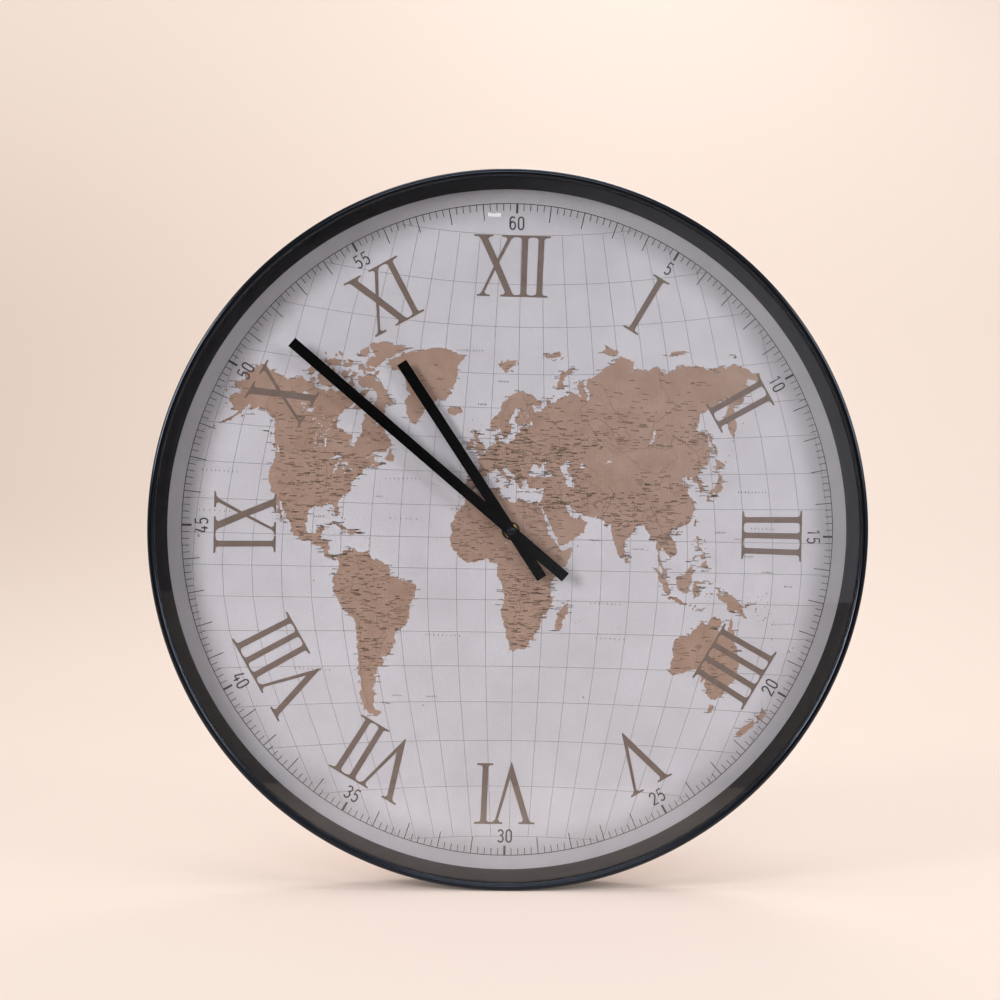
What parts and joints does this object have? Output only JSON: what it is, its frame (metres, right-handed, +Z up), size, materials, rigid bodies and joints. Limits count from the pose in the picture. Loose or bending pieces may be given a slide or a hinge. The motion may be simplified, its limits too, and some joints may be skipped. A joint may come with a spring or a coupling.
{
  "type": "wall clock",
  "caption": "Large round wall clock: black steel hoop, glass front, world map dial with Roman numerals and a minute track, straight black bar hands, battery movement and keyhole hanger.",
  "frame": {"origin": "hanging point: on the back face of the hanger plate, just above the top of its keyhole slot, in the plane of the wall", "axes": "+Z up towards twelve o'clock, -Y out of the dial towards the room, +Y into the wall, +X towards three o'clock"},
  "size_m": [0.6, 0.0499, 0.6],
  "materials": {
    "case_black": "satin black paint on steel",
    "glass_clear": "clear float glass",
    "inner_wall": "dark grey moulded ring",
    "dial_print": "printed linen-textured paper",
    "board_brown": "hardboard",
    "zinc_steel": "zinc plated",
    "brass_bare": "turned brass",
    "hand_black": "matt black coated sheet",
    "rubber_black": "moulded rubber",
    "movement_black": "moulded plastic with a fine grain",
    "gear_white": "natural acetal",
    "magnet_grey": "sintered magnet",
    "copper_wire": "enamelled copper wire",
    "board_green": "green circuit board",
    "cell_wrap": "plain wrapped cell"
  },
  "bodies": {
    "case": {"case_ring": "case_black", "glass_lens": "glass_clear", "spacer_ring": "inner_wall", "dial_sheet": "dial_print", "dial_board": "board_brown", "clip_1": "zinc_steel", "clip_2": "zinc_steel", "clip_3": "zinc_steel", "clip_4": "zinc_steel", "clip_5": "zinc_steel", "clip_6": "zinc_steel", "clip_screw_1": "zinc_steel", "clip_screw_2": "zinc_steel", "clip_screw_3": "zinc_steel", "clip_screw_4": "zinc_steel", "clip_screw_5": "zinc_steel", "clip_screw_6": "zinc_steel", "hanger_bracket": "zinc_steel", "hanger_screw_left": "zinc_steel", "hanger_screw_right": "zinc_steel", "rubber_gasket": "rubber_black", "brass_washer": "brass_bare", "fixing_nut": "brass_bare", "movement_housing": "movement_black", "train_plate": "movement_black", "movement_cover": "movement_black", "stator_plate": "zinc_steel", "coil_core": "zinc_steel", "coil_bobbin": "movement_black", "coil_winding": "copper_wire", "circuit_board": "board_green", "quartz_crystal": "zinc_steel", "chip_cover": "movement_black", "contact_negative": "zinc_steel", "contact_positive": "zinc_steel", "battery": "cell_wrap"},
    "minute_train": {"minute_hand": "hand_black", "minute_hand_nut": "hand_black", "minute_arbor": "zinc_steel", "centre_wheel": "gear_white"},
    "hour_train": {"hour_hand": "hand_black", "hour_wheel": "gear_white"},
    "motion_work": {"motion_wheel": "gear_white"},
    "setting_work": {"setting_arbor": "gear_white", "setting_knob": "movement_black"},
    "third_train": {"third_wheel": "gear_white"},
    "rotor": {"rotor_pinion": "gear_white", "rotor_magnet": "magnet_grey"}
  },
  "joints": [
    {"name": "minute_hand_turn", "type": "hinge", "parent": "case", "child": "minute_train", "pos_m": [0, -0.03, -0.232], "axis": [0, 1, 0], "continuous": true},
    {"name": "hour_hand_turn", "type": "hinge", "parent": "case", "child": "hour_train", "pos_m": [0, -0.028, -0.232], "axis": [0, 1, 0], "continuous": true},
    {"name": "motion_wheel_turn", "type": "hinge", "parent": "case", "child": "motion_work", "pos_m": [-0.00779, -0.019, -0.2275], "axis": [0, 1, 0], "continuous": true},
    {"name": "setting_knob_turn", "type": "hinge", "parent": "case", "child": "setting_work", "pos_m": [-0.01598, -0.012, -0.22278], "axis": [0, 1, 0], "continuous": true},
    {"name": "third_wheel_turn", "type": "hinge", "parent": "case", "child": "third_train", "pos_m": [0.00843, -0.012, -0.22493], "axis": [0, 1, 0], "continuous": true},
    {"name": "rotor_turn", "type": "hinge", "parent": "case", "child": "rotor", "pos_m": [0.00501, -0.012, -0.21553], "axis": [0, 1, 0], "continuous": true}
  ],
  "couplings": [
    {"joint": "hour_hand_turn", "follows": "minute_hand_turn", "ratio": 0.083333},
    {"joint": "motion_wheel_turn", "follows": "minute_hand_turn", "ratio": -0.33333},
    {"joint": "setting_knob_turn", "follows": "minute_hand_turn", "ratio": 0.83333},
    {"joint": "third_wheel_turn", "follows": "minute_hand_turn", "ratio": -10},
    {"joint": "rotor_turn", "follows": "minute_hand_turn", "ratio": 90}
  ]
}
